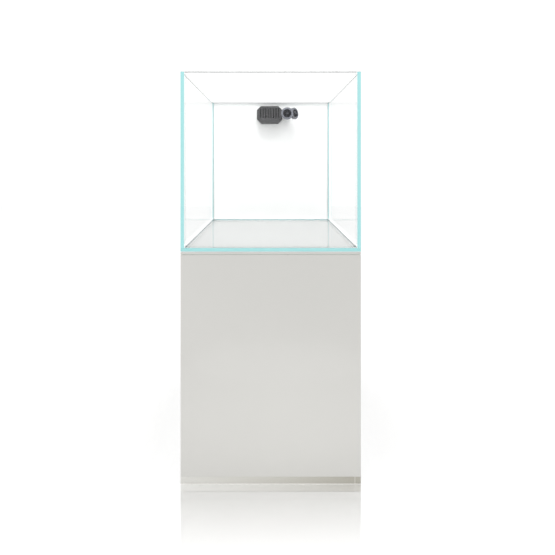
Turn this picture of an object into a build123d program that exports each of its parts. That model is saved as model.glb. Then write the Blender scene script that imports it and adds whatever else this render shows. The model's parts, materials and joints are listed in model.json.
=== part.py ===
from build123d import *
import os
from collections import namedtuple

# Aquarium on a cabinet stand. Millimetres, +Z up. The origin is the centre of the square footprint
# on the floor; the door faces -Y, and the plumbing hangs behind the tank on the +Y side.

# ---------------------------------------------------------------- driving dimensions
FOOTPRINT = 600.0          # width and depth of the tank and of the cabinet
TANK_HEIGHT = 600.0
GLASS = 12.0
DOOR_BOTTOM = 25.0         # height of the foot under the door
DOOR_TOP = 763.0
DOOR_THICKNESS = 18.0
DOOR_GAP = 4.0             # air between the door and the carcass
PANEL = 19.0               # side and back boards
BASE_BOARD = 25.0
TOP_BOARD = 25.0
TOP_LIP = 5.0              # tongue of the top board that runs over the door
LIP_GAP = 3.0              # shadow gap between the door and that tongue
FOOT_INSET, FOOT_GAP = 1.5, 0.5   # the foot under the door: behind its face, and below its edge
MAT = 3.0

# ---------------------------------------------------------------- levels and planes
HALF = FOOTPRINT / 2
FRONT, BACK = -HALF, HALF
CARCASS_FRONT = FRONT + DOOR_THICKNESS + DOOR_GAP
DOOR_BACK = FRONT + DOOR_THICKNESS
FOOT_FRONT = FRONT + FOOT_INSET
FOOT_TOP = DOOR_BOTTOM - FOOT_GAP
INNER = HALF - PANEL
LIP_UNDERSIDE = DOOR_TOP + LIP_GAP
TOP_SURFACE = LIP_UNDERSIDE + TOP_LIP
TOP_UNDERSIDE = TOP_SURFACE - TOP_BOARD
TANK_BASE = TOP_SURFACE + MAT
TANK_FLOOR = TANK_BASE + GLASS
TANK_TOP = TANK_BASE + TANK_HEIGHT
INNER_GLASS = HALF - GLASS

X, Y, Z = Vector(1, 0, 0), Vector(0, 1, 0), Vector(0, 0, 1)
UPWARD = (Align.CENTER, Align.CENTER, Align.MIN)
RUNNING_PLAY = 0.05        # radial play where one piece turns or slides in another


# ---------------------------------------------------------------- shape helpers
def block(x, y, z):
    """Box from a (low, high) span along each axis."""
    spans = (x, y, z)
    centre = [(low + high) / 2 for low, high in spans]
    return Pos(*centre) * Box(*[high - low for low, high in spans])


def rod(start, end, radius):
    """Round bar from one point to another."""
    run = Vector(*end) - Vector(*start)
    return Plane(origin=start, z_dir=run) * Cylinder(radius, run.length, align=UPWARD)


def tube(start, end, radius, bore):
    return rod(start, end, radius) - rod(start, end, bore)


def hex_nut(start, end, corner_radius, bore):
    """Hexagonal collar with a round bore."""
    run = Vector(*end) - Vector(*start)
    prism = Plane(origin=start, z_dir=run) * extrude(RegularPolygon(corner_radius, 6), run.length)
    return prism - rod(start, end, bore)


def screw(head, direction, length, radius):
    """Countersunk screw whose flat head lies at the point head."""
    shape = Cylinder(radius, length, align=UPWARD) + Cone(2 * radius, radius, radius, align=UPWARD)
    return Plane(origin=head, z_dir=direction) * shape


def octagon_prism(x, z, y, chamfer):
    """Prism along Y whose outline is a rectangle with its four corners cut off."""
    prism = block(x, y, z)
    return prism.chamfer(chamfer, None, prism.edges().filter_by(Axis.Y))


# ---------------------------------------------------------------- cabinet fasteners
CAM_RADIUS, CAM_DEPTH = 7.5, 12.5
CAM_INSET = 20.0           # from the edge of the board to the cam's axis
CAM_BOLT_RADIUS, CAM_BOLT_GRIP = 3.0, 11.0
CAM_ROWS = (-220.0, 200.0)


def cam_fitting(face_point, inward, bolt_direction):
    """Cam let into a board's face, with its bolt running out through the board's edge."""
    face_point = Vector(*face_point)
    bolt_start = face_point + inward * (CAM_DEPTH / 2 + CAM_BOLT_RADIUS)
    bolt_end = bolt_start + bolt_direction * (CAM_INSET + CAM_BOLT_GRIP)
    cam = rod(face_point, face_point + inward * CAM_DEPTH, CAM_RADIUS)
    return cam + rod(bolt_start, bolt_end, CAM_BOLT_RADIUS)


def cam_fittings():
    fittings = []
    for side in (-1, 1):
        for row in CAM_ROWS:
            side_point = (side * INNER, row, TOP_UNDERSIDE - CAM_INSET)
            base_point = (side * (INNER - CAM_INSET), row, BASE_BOARD)
            fittings.append(cam_fitting(side_point, X * side, Z))
            fittings.append(cam_fitting(base_point, -Z, X * side))
    return fittings


BACK_SCREW_RADIUS, BACK_SCREW_LENGTH = 2.0, 45.0
BACK_SCREW_LEVELS = (60.0, 270.0, 480.0, 690.0)
BASE_SCREW_ROW = (-140.0, 0.0, 140.0)


def back_panel_screws():
    """Screws through the back panel into the edges of the sides and of the base board."""
    edge = HALF - PANEL / 2
    heads = [(side * edge, BACK, level) for side in (-1, 1) for level in BACK_SCREW_LEVELS]
    heads += [(x, BACK, BASE_BOARD / 2) for x in BASE_SCREW_ROW]
    return [screw(head, -Y, BACK_SCREW_LENGTH, BACK_SCREW_RADIUS) for head in heads]


# ---------------------------------------------------------------- door and its pivots
PIVOT = (-292.0, -291.0)   # door axis, close to the left front corner
PIN_RADIUS, BUSH_RADIUS, BUSH_LENGTH = 3.0, 5.0, 12.0
PIN_LENGTH = 13.0
PLATE = 2.0                # thickness of the pivot plates
PLATE_X = (-298.0, -264.0)
PLATE_LEG = 18.0           # height of the leg that is let into the carcass
PLATE_FRONT = -297.0
PLATE_SCREWS_X = (-285.5, -271.0)
PLATE_SCREW_ROW = -284.0
PLATE_SCREW_RADIUS, PLATE_SCREW_LENGTH = 1.6, 18.0
LEG_Y = (CARCASS_FRONT, CARCASS_FRONT + PLATE)
TONGUE_Y = (PLATE_FRONT, LEG_Y[1])
TOP_TONGUE_Z = (LIP_UNDERSIDE - PLATE, LIP_UNDERSIDE)
TOP_LEG_Z = (TOP_TONGUE_Z[0] - PLATE_LEG + PLATE, TOP_TONGUE_Z[0])
BOTTOM_TONGUE_Z = (FOOT_TOP - PLATE, FOOT_TOP)


def pivot_pin(start, end):
    return rod((*PIVOT, start), (*PIVOT, end), PIN_RADIUS)


def pivot_plates():
    """Angle plate over the door, screwed to the carcass, and flat plate let into the foot."""
    top = block(PLATE_X, TONGUE_Y, TOP_TONGUE_Z) + block(PLATE_X, LEG_Y, TOP_LEG_Z)
    bottom = block(PLATE_X, TONGUE_Y, BOTTOM_TONGUE_Z)
    return (top + pivot_pin(TOP_TONGUE_Z[0] - PIN_LENGTH, TOP_TONGUE_Z[0]),
            bottom + pivot_pin(BOTTOM_TONGUE_Z[1], BOTTOM_TONGUE_Z[1] + PIN_LENGTH))


def pivot_screws():
    upper = [((x, CARCASS_FRONT, sum(TOP_LEG_Z) / 2), Y) for x in PLATE_SCREWS_X]
    lower = [((x, PLATE_SCREW_ROW, FOOT_TOP), -Z) for x in PLATE_SCREWS_X]
    return [screw(head, direction, PLATE_SCREW_LENGTH, PLATE_SCREW_RADIUS)
            for head, direction in upper + lower]


def plate_recesses():
    """Room for the pivot plates in the carcass and in its foot."""
    upper = block(PLATE_X, LEG_Y, (TOP_LEG_Z[0], LIP_UNDERSIDE))
    lower = block(PLATE_X, TONGUE_Y, BOTTOM_TONGUE_Z)
    return [upper, lower]


BUSH_HOLE = BUSH_LENGTH + 2.0
EDGE_ROUND = 1.0


def door_panel():
    door = block((FRONT, HALF), (FRONT, DOOR_BACK), (DOOR_BOTTOM, DOOR_TOP))
    door = fillet(door.edges(), EDGE_ROUND)
    door -= rod((*PIVOT, DOOR_TOP - BUSH_HOLE), (*PIVOT, DOOR_TOP), BUSH_RADIUS)
    return door - rod((*PIVOT, DOOR_BOTTOM), (*PIVOT, DOOR_BOTTOM + BUSH_HOLE), BUSH_RADIUS)


def door_pivot_bushes():
    starts = (DOOR_TOP - BUSH_LENGTH, DOOR_BOTTOM)
    bore = PIN_RADIUS + RUNNING_PLAY
    return [tube((*PIVOT, z), (*PIVOT, z + BUSH_LENGTH), BUSH_RADIUS, bore) for z in starts]


# ---------------------------------------------------------------- push latch
LATCH_X, LATCH_Z = INNER - 8.0, 650.0
LATCH_Y = (CARCASS_FRONT + 2.0, CARCASS_FRONT + 62.0)
PLUNGER_RADIUS = 4.0
PLUNGER_TRAVEL = 3.0
STRIKE = 0.8               # thickness of the strike plate on the door
STRIKE_FACE = DOOR_BACK + STRIKE
PLUNGER_TIP = STRIKE_FACE + 0.2
PLUNGER_END = LATCH_Y[1] - 16.0
SPRING_ROOM = PLUNGER_TRAVEL + 7.0
BUMPER_RADIUS, BUMPER = 4.0, 1.0
BUMPER_LEVELS = (60.0, 700.0)


def latch_body():
    body = block((LATCH_X - 8, LATCH_X + 8), LATCH_Y, (LATCH_Z - 10, LATCH_Z + 10))
    bore_end = (LATCH_X, PLUNGER_END + SPRING_ROOM, LATCH_Z)
    return body - rod((LATCH_X, LATCH_Y[0], LATCH_Z), bore_end, PLUNGER_RADIUS + RUNNING_PLAY)


def latch_plunger():
    return rod((LATCH_X, PLUNGER_TIP, LATCH_Z), (LATCH_X, PLUNGER_END, LATCH_Z), PLUNGER_RADIUS)


def latch_strike_plate():
    return block((LATCH_X - 7, LATCH_X + 7), (DOOR_BACK, STRIKE_FACE), (LATCH_Z - 14, LATCH_Z + 14))


def door_bumpers():
    edge = HALF - PANEL / 2
    return [rod((edge, DOOR_BACK, z), (edge, DOOR_BACK + BUMPER, z), BUMPER_RADIUS)
            for z in BUMPER_LEVELS]


# ---------------------------------------------------------------- cabinet boards
CUTOUT_X, CUTOUT_Z = (-215.0, 110.0), (590.0, 700.0)   # pipe opening in the back panel


def cut(board, tools):
    for tool in tools:
        board -= tool
    return board


def cabinet_boards(fasteners):
    """The five boards, drilled and let in for their fasteners; three run on under the door."""
    left = block((-HALF, -INNER), (CARCASS_FRONT, INNER), (0, TOP_UNDERSIDE))
    right = block((INNER, HALF), (CARCASS_FRONT, INNER), (0, TOP_UNDERSIDE))
    base = block((-INNER, INNER), (CARCASS_FRONT, INNER), (0, BASE_BOARD))
    foot_y, foot_z = (FOOT_FRONT, CARCASS_FRONT), (0, FOOT_TOP)
    left += block((-HALF, -INNER), foot_y, foot_z)
    right += block((INNER, HALF), foot_y, foot_z)
    base += block((-INNER, INNER), foot_y, foot_z)
    back = block((-HALF, HALF), (INNER, BACK), (0, TOP_UNDERSIDE))
    back -= block(CUTOUT_X, (INNER, BACK), CUTOUT_Z)
    top = block((-HALF, HALF), (CARCASS_FRONT, BACK), (TOP_UNDERSIDE, TOP_SURFACE))
    top += block((-HALF, HALF), (FRONT, CARCASS_FRONT), (LIP_UNDERSIDE, TOP_SURFACE))
    tools = fasteners + plate_recesses()
    return [cut(board, tools) for board in (left, right, base, back, top)]


# ---------------------------------------------------------------- overflow and return positions
WEIR_X, WEIR_Z = (-68.0, 57.0), (1265.0, 1348.0)
WEIR_FRONT = 243.0
WEIR_WALL, WEIR_CHAMFER = 4.0, 20.0
BACKPLATE = 5.0
SLOTS, SLOT_PITCH, SLOT_WIDTH = 8, 12.6, 5.0
SLOT_Z = (1289.0, 1338.0)
WEIR_PORTS = ((-27.0, 1295.0), (14.0, 1295.0))   # (x, z) of the two overflow bulkheads
RETURN_PORT = (77.0, 1306.0)
BARREL, BARREL_BORE = 13.0, 10.0
GLASS_HOLE = 14.0
FLANGE_RADIUS, FLANGE, GASKET = 18.0, 5.0, 2.0
FILM = 0.5
FILM_BACK = BACK + FILM


# ---------------------------------------------------------------- tank
def tank_panes():
    """Bottom, front, back, left and right panes; the back one is drilled for the bulkheads."""
    wall_z = (TANK_FLOOR, TANK_TOP)
    bottom = block((-HALF, HALF), (FRONT, BACK), (TANK_BASE, TANK_FLOOR))
    front = block((-INNER_GLASS, INNER_GLASS), (FRONT, -INNER_GLASS), wall_z)
    back = block((-INNER_GLASS, INNER_GLASS), (INNER_GLASS, BACK), wall_z)
    for x, z in (*WEIR_PORTS, RETURN_PORT):
        back -= rod((x, INNER_GLASS, z), (x, BACK, z), GLASS_HOLE)
    left = block((-HALF, -INNER_GLASS), (FRONT, BACK), wall_z)
    right = block((INNER_GLASS, HALF), (FRONT, BACK), wall_z)
    return bottom, front, back, left, right


SEAM = 3.5                 # leg of the silicone fillets
SEAM_TOP = TANK_TOP - 4.0


def tank_silicone_seams():
    """Fillets in the four upright corners and round the bottom."""
    inner = (-INNER_GLASS, INNER_GLASS)
    room = block(inner, inner, (TANK_FLOOR, SEAM_TOP))
    uprights = room.edges().filter_by(Axis.Z)
    lowest = room.edges().group_by(Axis.Z)[0]
    return room - room.chamfer(SEAM, None, uprights + lowest)


def background_film():
    film = block((-HALF, HALF), (BACK, FILM_BACK), (TANK_BASE, TANK_TOP))
    for x, z in (*WEIR_PORTS, RETURN_PORT):
        film -= rod((x, BACK, z), (x, FILM_BACK, z), BARREL)
    return film


def levelling_mat():
    edge = HALF - 1.0
    return block((-edge, edge), (-edge, edge), (TOP_SURFACE, TANK_BASE))


# ---------------------------------------------------------------- weir inside the tank
BACKPLATE_FRONT = INNER_GLASS - BACKPLATE
WEIR_COVER_BACK = BACKPLATE_FRONT - 0.5
THROAT_X = (WEIR_X[0] + WEIR_CHAMFER + 2, WEIR_X[1] - WEIR_CHAMFER - 2)
TRAY_PLAY = 0.5


def weir_backplate():
    """Plate clamped to the glass by the bulkheads, with a tray that closes the weir's throat."""
    plate = octagon_prism(WEIR_X, WEIR_Z, (BACKPLATE_FRONT, INNER_GLASS), WEIR_CHAMFER)
    plate -= block(WEIR_X, (BACKPLATE_FRONT, INNER_GLASS), (WEIR_Z[1] - WEIR_WALL - 0.3, WEIR_Z[1]))
    plate += block((THROAT_X[0] + TRAY_PLAY, THROAT_X[1] - TRAY_PLAY),
                   (WEIR_FRONT + WEIR_WALL + TRAY_PLAY, BACKPLATE_FRONT),
                   (WEIR_Z[0] + TRAY_PLAY, WEIR_Z[0] + WEIR_WALL))
    for x, z in WEIR_PORTS:
        plate -= rod((x, BACKPLATE_FRONT, z), (x, INNER_GLASS, z), BARREL)
    return plate


def weir_cover():
    """Slotted cover that hangs on the backplate's top edge and lifts off upwards."""
    outer = octagon_prism(WEIR_X, WEIR_Z, (WEIR_FRONT, WEIR_COVER_BACK), WEIR_CHAMFER)
    inner_x = (WEIR_X[0] + WEIR_WALL, WEIR_X[1] - WEIR_WALL)
    inner_z = (WEIR_Z[0] + WEIR_WALL, WEIR_Z[1] - WEIR_WALL)
    inner_y = (WEIR_FRONT + WEIR_WALL, WEIR_COVER_BACK)
    cover = outer - octagon_prism(inner_x, inner_z, inner_y, WEIR_CHAMFER - WEIR_WALL / 2)
    cover -= block(THROAT_X, inner_y, (WEIR_Z[0], WEIR_Z[0] + WEIR_WALL))
    cover += block(THROAT_X, (WEIR_COVER_BACK, INNER_GLASS - 0.5),
                   (WEIR_Z[1] - WEIR_WALL, WEIR_Z[1]))
    middle = sum(WEIR_X) / 2
    for slot in range(SLOTS):
        x = middle + (slot - (SLOTS - 1) / 2) * SLOT_PITCH
        cover -= block((x - SLOT_WIDTH / 2, x + SLOT_WIDTH / 2),
                       (WEIR_FRONT, WEIR_FRONT + WEIR_WALL), SLOT_Z)
    return cover


# ---------------------------------------------------------------- overflow box behind the tank
BOX_X, BOX_Y, BOX_Z = (-225.0, 40.0), (FILM_BACK, 380.0), (1205.0, 1350.0)
BOX_WALL = 5.0
LID, LID_RIM, LID_RIM_DEPTH = 4.0, 4.0, 8.0
LID_PLAY = 0.6
PIPE_Y = 342.0             # plane of the pipes that run down behind the cabinet
PRIMARY_X, EMERGENCY_X = -185.0, -115.0
DRAIN_BARREL, DRAIN_FLANGE_RADIUS = 21.0, 30.0
NUT = 8.5


def shrink(span, by):
    return (span[0] + by, span[1] - by)


def overflow_box():
    room_x, room_y = shrink(BOX_X, BOX_WALL), shrink(BOX_Y, BOX_WALL)
    box = block(BOX_X, BOX_Y, BOX_Z) - block(room_x, room_y, (BOX_Z[0] + BOX_WALL, BOX_Z[1]))
    for x, z in WEIR_PORTS:
        box -= rod((x, BOX_Y[0], z), (x, BOX_Y[0] + BOX_WALL, z), BARREL)
    for x in (PRIMARY_X, EMERGENCY_X):
        box -= rod((x, PIPE_Y, BOX_Z[0]), (x, PIPE_Y, BOX_Z[0] + BOX_WALL), DRAIN_BARREL)
    return box


def overflow_lid():
    """Flat lid with a rim that drops inside the box."""
    rim_x, rim_y = shrink(BOX_X, BOX_WALL + LID_PLAY), shrink(BOX_Y, BOX_WALL + LID_PLAY)
    lid = block(BOX_X, BOX_Y, (BOX_Z[1], BOX_Z[1] + LID))
    rim_z = (BOX_Z[1] - LID_RIM_DEPTH, BOX_Z[1])
    rim = block(rim_x, rim_y, rim_z) - block(shrink(rim_x, LID_RIM), shrink(rim_y, LID_RIM), rim_z)
    return lid + rim


# ---------------------------------------------------------------- bulkhead fittings
WEIR_BARREL_END, RETURN_BARREL_END = 324.0, 325.0
WEIR_FLANGE_Y = BACKPLATE_FRONT - GASKET
RETURN_FLANGE_Y = INNER_GLASS - GASKET
DRAIN_GASKET_Z = BOX_Z[0] + BOX_WALL
DRAIN_FLANGE_Z = DRAIN_GASKET_Z + GASKET
DRAIN_BARREL_END = 1172.0
DRAIN_LEDGE_Z = (1186.0, 1190.0)


def tank_bulkhead(x, z, flange_back, barrel_end):
    """Flange on the wet side and a threaded barrel through the glass."""
    body = rod((x, flange_back - FLANGE, z), (x, flange_back, z), FLANGE_RADIUS)
    body += rod((x, flange_back, z), (x, barrel_end, z), BARREL)
    return body - rod((x, flange_back - FLANGE, z), (x, barrel_end, z), BARREL_BORE)


def tank_bulkheads():
    fittings = [tank_bulkhead(x, z, WEIR_FLANGE_Y, WEIR_BARREL_END) for x, z in WEIR_PORTS]
    return fittings + [tank_bulkhead(*RETURN_PORT, RETURN_FLANGE_Y, RETURN_BARREL_END)]


Pipe = namedtuple("Pipe", "outer bore fitting reach")
DRAIN_PIPE = Pipe(outer=16.7, bore=13.3, fitting=21.0, reach=32.0)     # one-inch pipe
RETURN_PIPE = Pipe(outer=13.35, bore=10.4, fitting=17.0, reach=27.0)   # three-quarter-inch pipe
SOCKET_DEPTH, SOCKET_PLAY = 16.0, 0.1
ELBOW_BULGE = 0.6


def drain_bulkhead(x):
    top = DRAIN_FLANGE_Z + FLANGE
    socket = DRAIN_PIPE.outer + SOCKET_PLAY
    body = rod((x, PIPE_Y, DRAIN_FLANGE_Z), (x, PIPE_Y, top), DRAIN_FLANGE_RADIUS)
    body += rod((x, PIPE_Y, DRAIN_BARREL_END), (x, PIPE_Y, DRAIN_FLANGE_Z), DRAIN_BARREL)
    body -= rod((x, PIPE_Y, DRAIN_BARREL_END), (x, PIPE_Y, DRAIN_LEDGE_Z[0]), socket)
    body -= rod((x, PIPE_Y, DRAIN_LEDGE_Z[0]), (x, PIPE_Y, DRAIN_LEDGE_Z[1]), DRAIN_PIPE.bore)
    return body - rod((x, PIPE_Y, DRAIN_LEDGE_Z[1]), (x, PIPE_Y, top), socket)


def bulkhead_gaskets():
    rings = [tube((x, WEIR_FLANGE_Y, z), (x, BACKPLATE_FRONT, z), FLANGE_RADIUS, BARREL)
             for x, z in WEIR_PORTS]
    x, z = RETURN_PORT
    rings.append(tube((x, RETURN_FLANGE_Y, z), (x, INNER_GLASS, z), FLANGE_RADIUS, BARREL))
    for x in (PRIMARY_X, EMERGENCY_X):
        rings.append(tube((x, PIPE_Y, DRAIN_GASKET_Z), (x, PIPE_Y, DRAIN_FLANGE_Z),
                          DRAIN_FLANGE_RADIUS, DRAIN_BARREL))
    return rings


def bulkhead_nuts():
    inside_box = BOX_Y[0] + BOX_WALL
    nuts = [hex_nut((x, inside_box, z), (x, inside_box + NUT, z), 20.0, BARREL)
            for x, z in WEIR_PORTS]
    x, z = RETURN_PORT
    nuts.append(hex_nut((x, FILM_BACK, z), (x, FILM_BACK + NUT, z), 20.0, BARREL))
    for x in (PRIMARY_X, EMERGENCY_X):
        nuts.append(hex_nut((x, PIPE_Y, BOX_Z[0] - NUT), (x, PIPE_Y, BOX_Z[0]), 30.0, DRAIN_BARREL))
    return nuts


# ---------------------------------------------------------------- pipework
RUN_Z = 640.0              # height of the runs through the cabinet's back
DROP_Y = 200.0             # plane of the pipes above the sump
PRIMARY_END, EMERGENCY_END = 250.0, 330.0
PRIMARY_RIM, EMERGENCY_RIM = 1300.0, 1328.0
VALVE_Z = 540.0
VALVE_REACH, VALVE_BODY, VALVE_BALL = 42.0, 27.0, 19.0
UNION_HALF_HEIGHT, UNION_WALL = 15.0, 11.0
PRIMARY_UNION_Z, RETURN_UNION_Z = 450.0, 470.0
STANDPIPE_SLOTS, STANDPIPE_SLOT = 6, 3.0
STANDPIPE_SLOT_HEIGHT = 30.0


def elbow(corner, legs, pipe):
    """Ninety-degree socket elbow with a round outer corner."""
    centre = Vector(*corner)
    body = Pos(*corner) * Sphere(pipe.fitting + ELBOW_BULGE)
    for leg in legs:
        body += rod(centre, centre + leg * pipe.reach, pipe.fitting)
    bores = [Pos(*corner) * Sphere(pipe.bore + ELBOW_BULGE)]
    for leg in legs:
        end, stop = centre + leg * pipe.reach, centre + leg * (pipe.reach - SOCKET_DEPTH)
        bores.append(rod(centre, end, pipe.bore))
        bores.append(rod(stop, end, pipe.outer + SOCKET_PLAY))
    return cut(body, bores)


def pipe_run(start, end, pipe, start_inset=None, end_inset=None):
    """Pipe between two fittings, inset so that it ends on the stop in each socket."""
    inset = pipe.reach - SOCKET_DEPTH
    start_inset = inset if start_inset is None else start_inset
    end_inset = inset if end_inset is None else end_inset
    start, end = Vector(*start), Vector(*end)
    along = (end - start).normalized()
    return tube(start + along * start_inset, end - along * end_inset, pipe.outer, pipe.bore)


def standpipe(x, rim):
    """Open upright pipe in the overflow box, with intake slots below its rim."""
    pipe = tube((x, PIPE_Y, DRAIN_LEDGE_Z[1]), (x, PIPE_Y, rim), DRAIN_PIPE.outer, DRAIN_PIPE.bore)
    slot = Box(2 * DRAIN_PIPE.outer + 2, STANDPIPE_SLOT, STANDPIPE_SLOT_HEIGHT)
    for turn in range(STANDPIPE_SLOTS // 2):
        spin = Rot(0, 0, turn * 360 / STANDPIPE_SLOTS)
        pipe -= Pos(x, PIPE_Y, rim - STANDPIPE_SLOT_HEIGHT / 2 - 8) * spin * slot
    return pipe


def drain_corners(x):
    return (x, PIPE_Y, RUN_Z), (x, DROP_Y, RUN_Z)


def drain_elbows(x):
    behind, above = drain_corners(x)
    return [elbow(behind, (Z, -Y), DRAIN_PIPE), elbow(above, (Y, -Z), DRAIN_PIPE)]


def drain_upper_pipes(x):
    behind, above = drain_corners(x)
    outlet = (x, PIPE_Y, DRAIN_LEDGE_Z[0])
    return [pipe_run(outlet, behind, DRAIN_PIPE, start_inset=0), pipe_run(behind, above, DRAIN_PIPE)]


def primary_drain_pipes():
    above = drain_corners(PRIMARY_X)[1]
    valve, end = (PRIMARY_X, DROP_Y, VALVE_Z), (PRIMARY_X, DROP_Y, PRIMARY_END)
    valve_inset = VALVE_REACH - SOCKET_DEPTH
    return drain_upper_pipes(PRIMARY_X) + [
        pipe_run(above, valve, DRAIN_PIPE, end_inset=valve_inset),
        pipe_run(valve, end, DRAIN_PIPE, start_inset=valve_inset, end_inset=0)]


def emergency_drain_pipes():
    above = drain_corners(EMERGENCY_X)[1]
    end = (EMERGENCY_X, DROP_Y, EMERGENCY_END)
    return drain_upper_pipes(EMERGENCY_X) + [pipe_run(above, end, DRAIN_PIPE, end_inset=0)]


def pipe_unions():
    """Screwed couplings that let the pipework come apart above the sump."""
    places = ((PRIMARY_X, PRIMARY_UNION_Z, DRAIN_PIPE), (RETURN_PORT[0], RETURN_UNION_Z, RETURN_PIPE))
    unions = []
    for x, z, pipe in places:
        bottom, top = (x, DROP_Y, z - UNION_HALF_HEIGHT), (x, DROP_Y, z + UNION_HALF_HEIGHT)
        unions.append(hex_nut(bottom, top, pipe.outer + UNION_WALL, pipe.outer + SOCKET_PLAY))
    return unions


# ---------------------------------------------------------------- ball valve on the primary drain
STEM_RADIUS, STEM_END = 4.0, 36.0
HANDLE_THICKNESS, HANDLE_WIDTH, HANDLE_LENGTH = 6.0, 14.0, 62.0
LEVER_HUB_RADIUS = 11.0
VALVE_CENTRE = Vector(PRIMARY_X, DROP_Y, VALVE_Z)


def drain_valve_body():
    top, bottom = VALVE_CENTRE + Z * VALVE_REACH, VALVE_CENTRE - Z * VALVE_REACH
    body = Pos(*VALVE_CENTRE) * Sphere(VALVE_BODY) + rod(bottom, top, DRAIN_PIPE.fitting)
    neck_end = VALVE_CENTRE - Y * (VALVE_BODY + 3)
    body += rod(VALVE_CENTRE, neck_end, STEM_RADIUS + 5)
    body -= Pos(*VALVE_CENTRE) * Sphere(VALVE_BALL + 0.3)
    body -= rod(bottom, top, DRAIN_PIPE.bore)
    for leg in (Z, -Z):
        end = VALVE_CENTRE + leg * VALVE_REACH
        body -= rod(end - leg * SOCKET_DEPTH, end, DRAIN_PIPE.outer + SOCKET_PLAY)
    return body - rod(VALVE_CENTRE, neck_end, STEM_RADIUS + RUNNING_PLAY)


def drain_valve_ball():
    """Ball with its bore upright when the valve is open, and the stem that turns it."""
    ball = Pos(*VALVE_CENTRE) * Sphere(VALVE_BALL)
    ball += rod(VALVE_CENTRE, VALVE_CENTRE - Y * STEM_END, STEM_RADIUS)
    return ball - rod(VALVE_CENTRE - Z * VALVE_BALL, VALVE_CENTRE + Z * VALVE_BALL, DRAIN_PIPE.bore)


def drain_valve_handle():
    """Lever that lies along the pipe when the valve is open."""
    near, far = DROP_Y - STEM_END - 3, DROP_Y - STEM_END + HANDLE_THICKNESS - 3
    hub = rod((PRIMARY_X, near, VALVE_Z), (PRIMARY_X, far, VALVE_Z), LEVER_HUB_RADIUS)
    lever = block((PRIMARY_X - HANDLE_WIDTH / 2, PRIMARY_X + HANDLE_WIDTH / 2), (near, far),
                  (VALVE_Z - HANDLE_LENGTH, VALVE_Z))
    handle = fillet((hub + lever).edges().filter_by(Axis.Y).group_by(Axis.Z)[0], 5.0)
    return handle - rod(VALVE_CENTRE, VALVE_CENTRE - Y * STEM_END, STEM_RADIUS)


# ---------------------------------------------------------------- return line
RETURN_X, RETURN_Z = RETURN_PORT
PUMP_Z = 95.0
OUTLET_TOP = PUMP_Z + 58.0


def return_corners():
    return ((RETURN_X, DROP_Y, RUN_Z), (RETURN_X, PIPE_Y, RUN_Z), (RETURN_X, PIPE_Y, RETURN_Z))


def return_elbows():
    above, behind, top = return_corners()
    return [elbow(above, (-Z, Y), RETURN_PIPE), elbow(behind, (-Y, Z), RETURN_PIPE),
            elbow(top, (-Z, -Y), RETURN_PIPE)]


def return_pipes():
    above, behind, top = return_corners()
    outlet = (RETURN_X, DROP_Y, OUTLET_TOP - SOCKET_DEPTH)
    return [pipe_run(outlet, above, RETURN_PIPE, start_inset=0),
            pipe_run(above, behind, RETURN_PIPE), pipe_run(behind, top, RETURN_PIPE)]


# ---------------------------------------------------------------- return nozzles
HUB_Y = 264.0
HUB_RADIUS, BOSS_RADIUS = 12.5, 9.8
BALL, SOCKET_GAP = 12.0, 0.3
NECK, NECK_BORE, SPIGOT = 8.0, 5.5, 7.5
SPIGOT_DEPTH = 8.0
COLLAR_RADIUS, COLLAR = 9.2, 2.0
SOCKET_RADIUS, SOCKET_BACK = 15.5, 5.0
HEAD_RADIUS, HEAD_BORE = 28.3, 19.5
HEAD_BACK, HEAD_FRONT = 7.5, 20.5
HEAD_LIP = 3.0
FLARE_START, THROAT_LENGTH = 5.0, 4.0
VANE_SPAN = (13.0, 18.5)
VANES = 6

# Distances from the hub's centre: boss to the face of its boss, reach to the centre of its ball.
Nozzle = namedtuple("Nozzle", "direction boss reach")
NOZZLES = {"a": Nozzle(Vector(0, -1, 0).rotate(Axis.X, 3), 30.0, 83.5),
           "b": Nozzle(Vector(0, -1, 0).rotate(Axis.X, -4.5).rotate(Axis.Z, 50), 21.5, 35.0)}
HUB_CENTRE = Vector(RETURN_X, HUB_Y, RETURN_Z)


def boss_face(name):
    """Distance from the ball's centre back to the boss that its stem turns in."""
    return NOZZLES[name].reach - NOZZLES[name].boss


def nozzle_plane(nozzle):
    """Frame at the ball's centre, with local Z along the jet."""
    return Plane(origin=HUB_CENTRE + nozzle.direction * nozzle.reach, z_dir=nozzle.direction)


def return_manifold():
    """Hub with a spigot into the return bulkhead and a boss for each nozzle's ball stem."""
    spigot_end = Vector(RETURN_X, BACK, RETURN_Z)
    body = Pos(*HUB_CENTRE) * Cylinder(HUB_RADIUS, 2 * HUB_RADIUS)
    body += rod(HUB_CENTRE, spigot_end, BARREL_BORE - SOCKET_PLAY)
    bores = [rod(HUB_CENTRE, spigot_end, SPIGOT)]
    for name, nozzle in NOZZLES.items():
        face = nozzle.direction * (nozzle.reach - boss_face(name))
        seat = face - nozzle.direction * SPIGOT_DEPTH
        body += rod(HUB_CENTRE, HUB_CENTRE + face, BOSS_RADIUS)
        bores.append(rod(HUB_CENTRE, HUB_CENTRE + face, NECK_BORE))
        bores.append(rod(HUB_CENTRE + seat, HUB_CENTRE + face, SPIGOT + RUNNING_PLAY))
    return cut(body, bores)


def nozzle_ball_stem(name):
    back = -boss_face(name)
    stem = Sphere(BALL) + Pos(0, 0, back) * Cylinder(NECK, -back, align=UPWARD)
    stem += Pos(0, 0, back) * Cylinder(COLLAR_RADIUS, COLLAR, align=UPWARD)
    stem += Pos(0, 0, back - SPIGOT_DEPTH + 0.5) * Cylinder(SPIGOT, SPIGOT_DEPTH, align=UPWARD)
    bore_length = -back + SPIGOT_DEPTH + BALL
    stem -= Pos(0, 0, back - SPIGOT_DEPTH) * Cylinder(NECK_BORE, bore_length, align=UPWARD)
    return nozzle_plane(NOZZLES[name]) * stem


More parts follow.
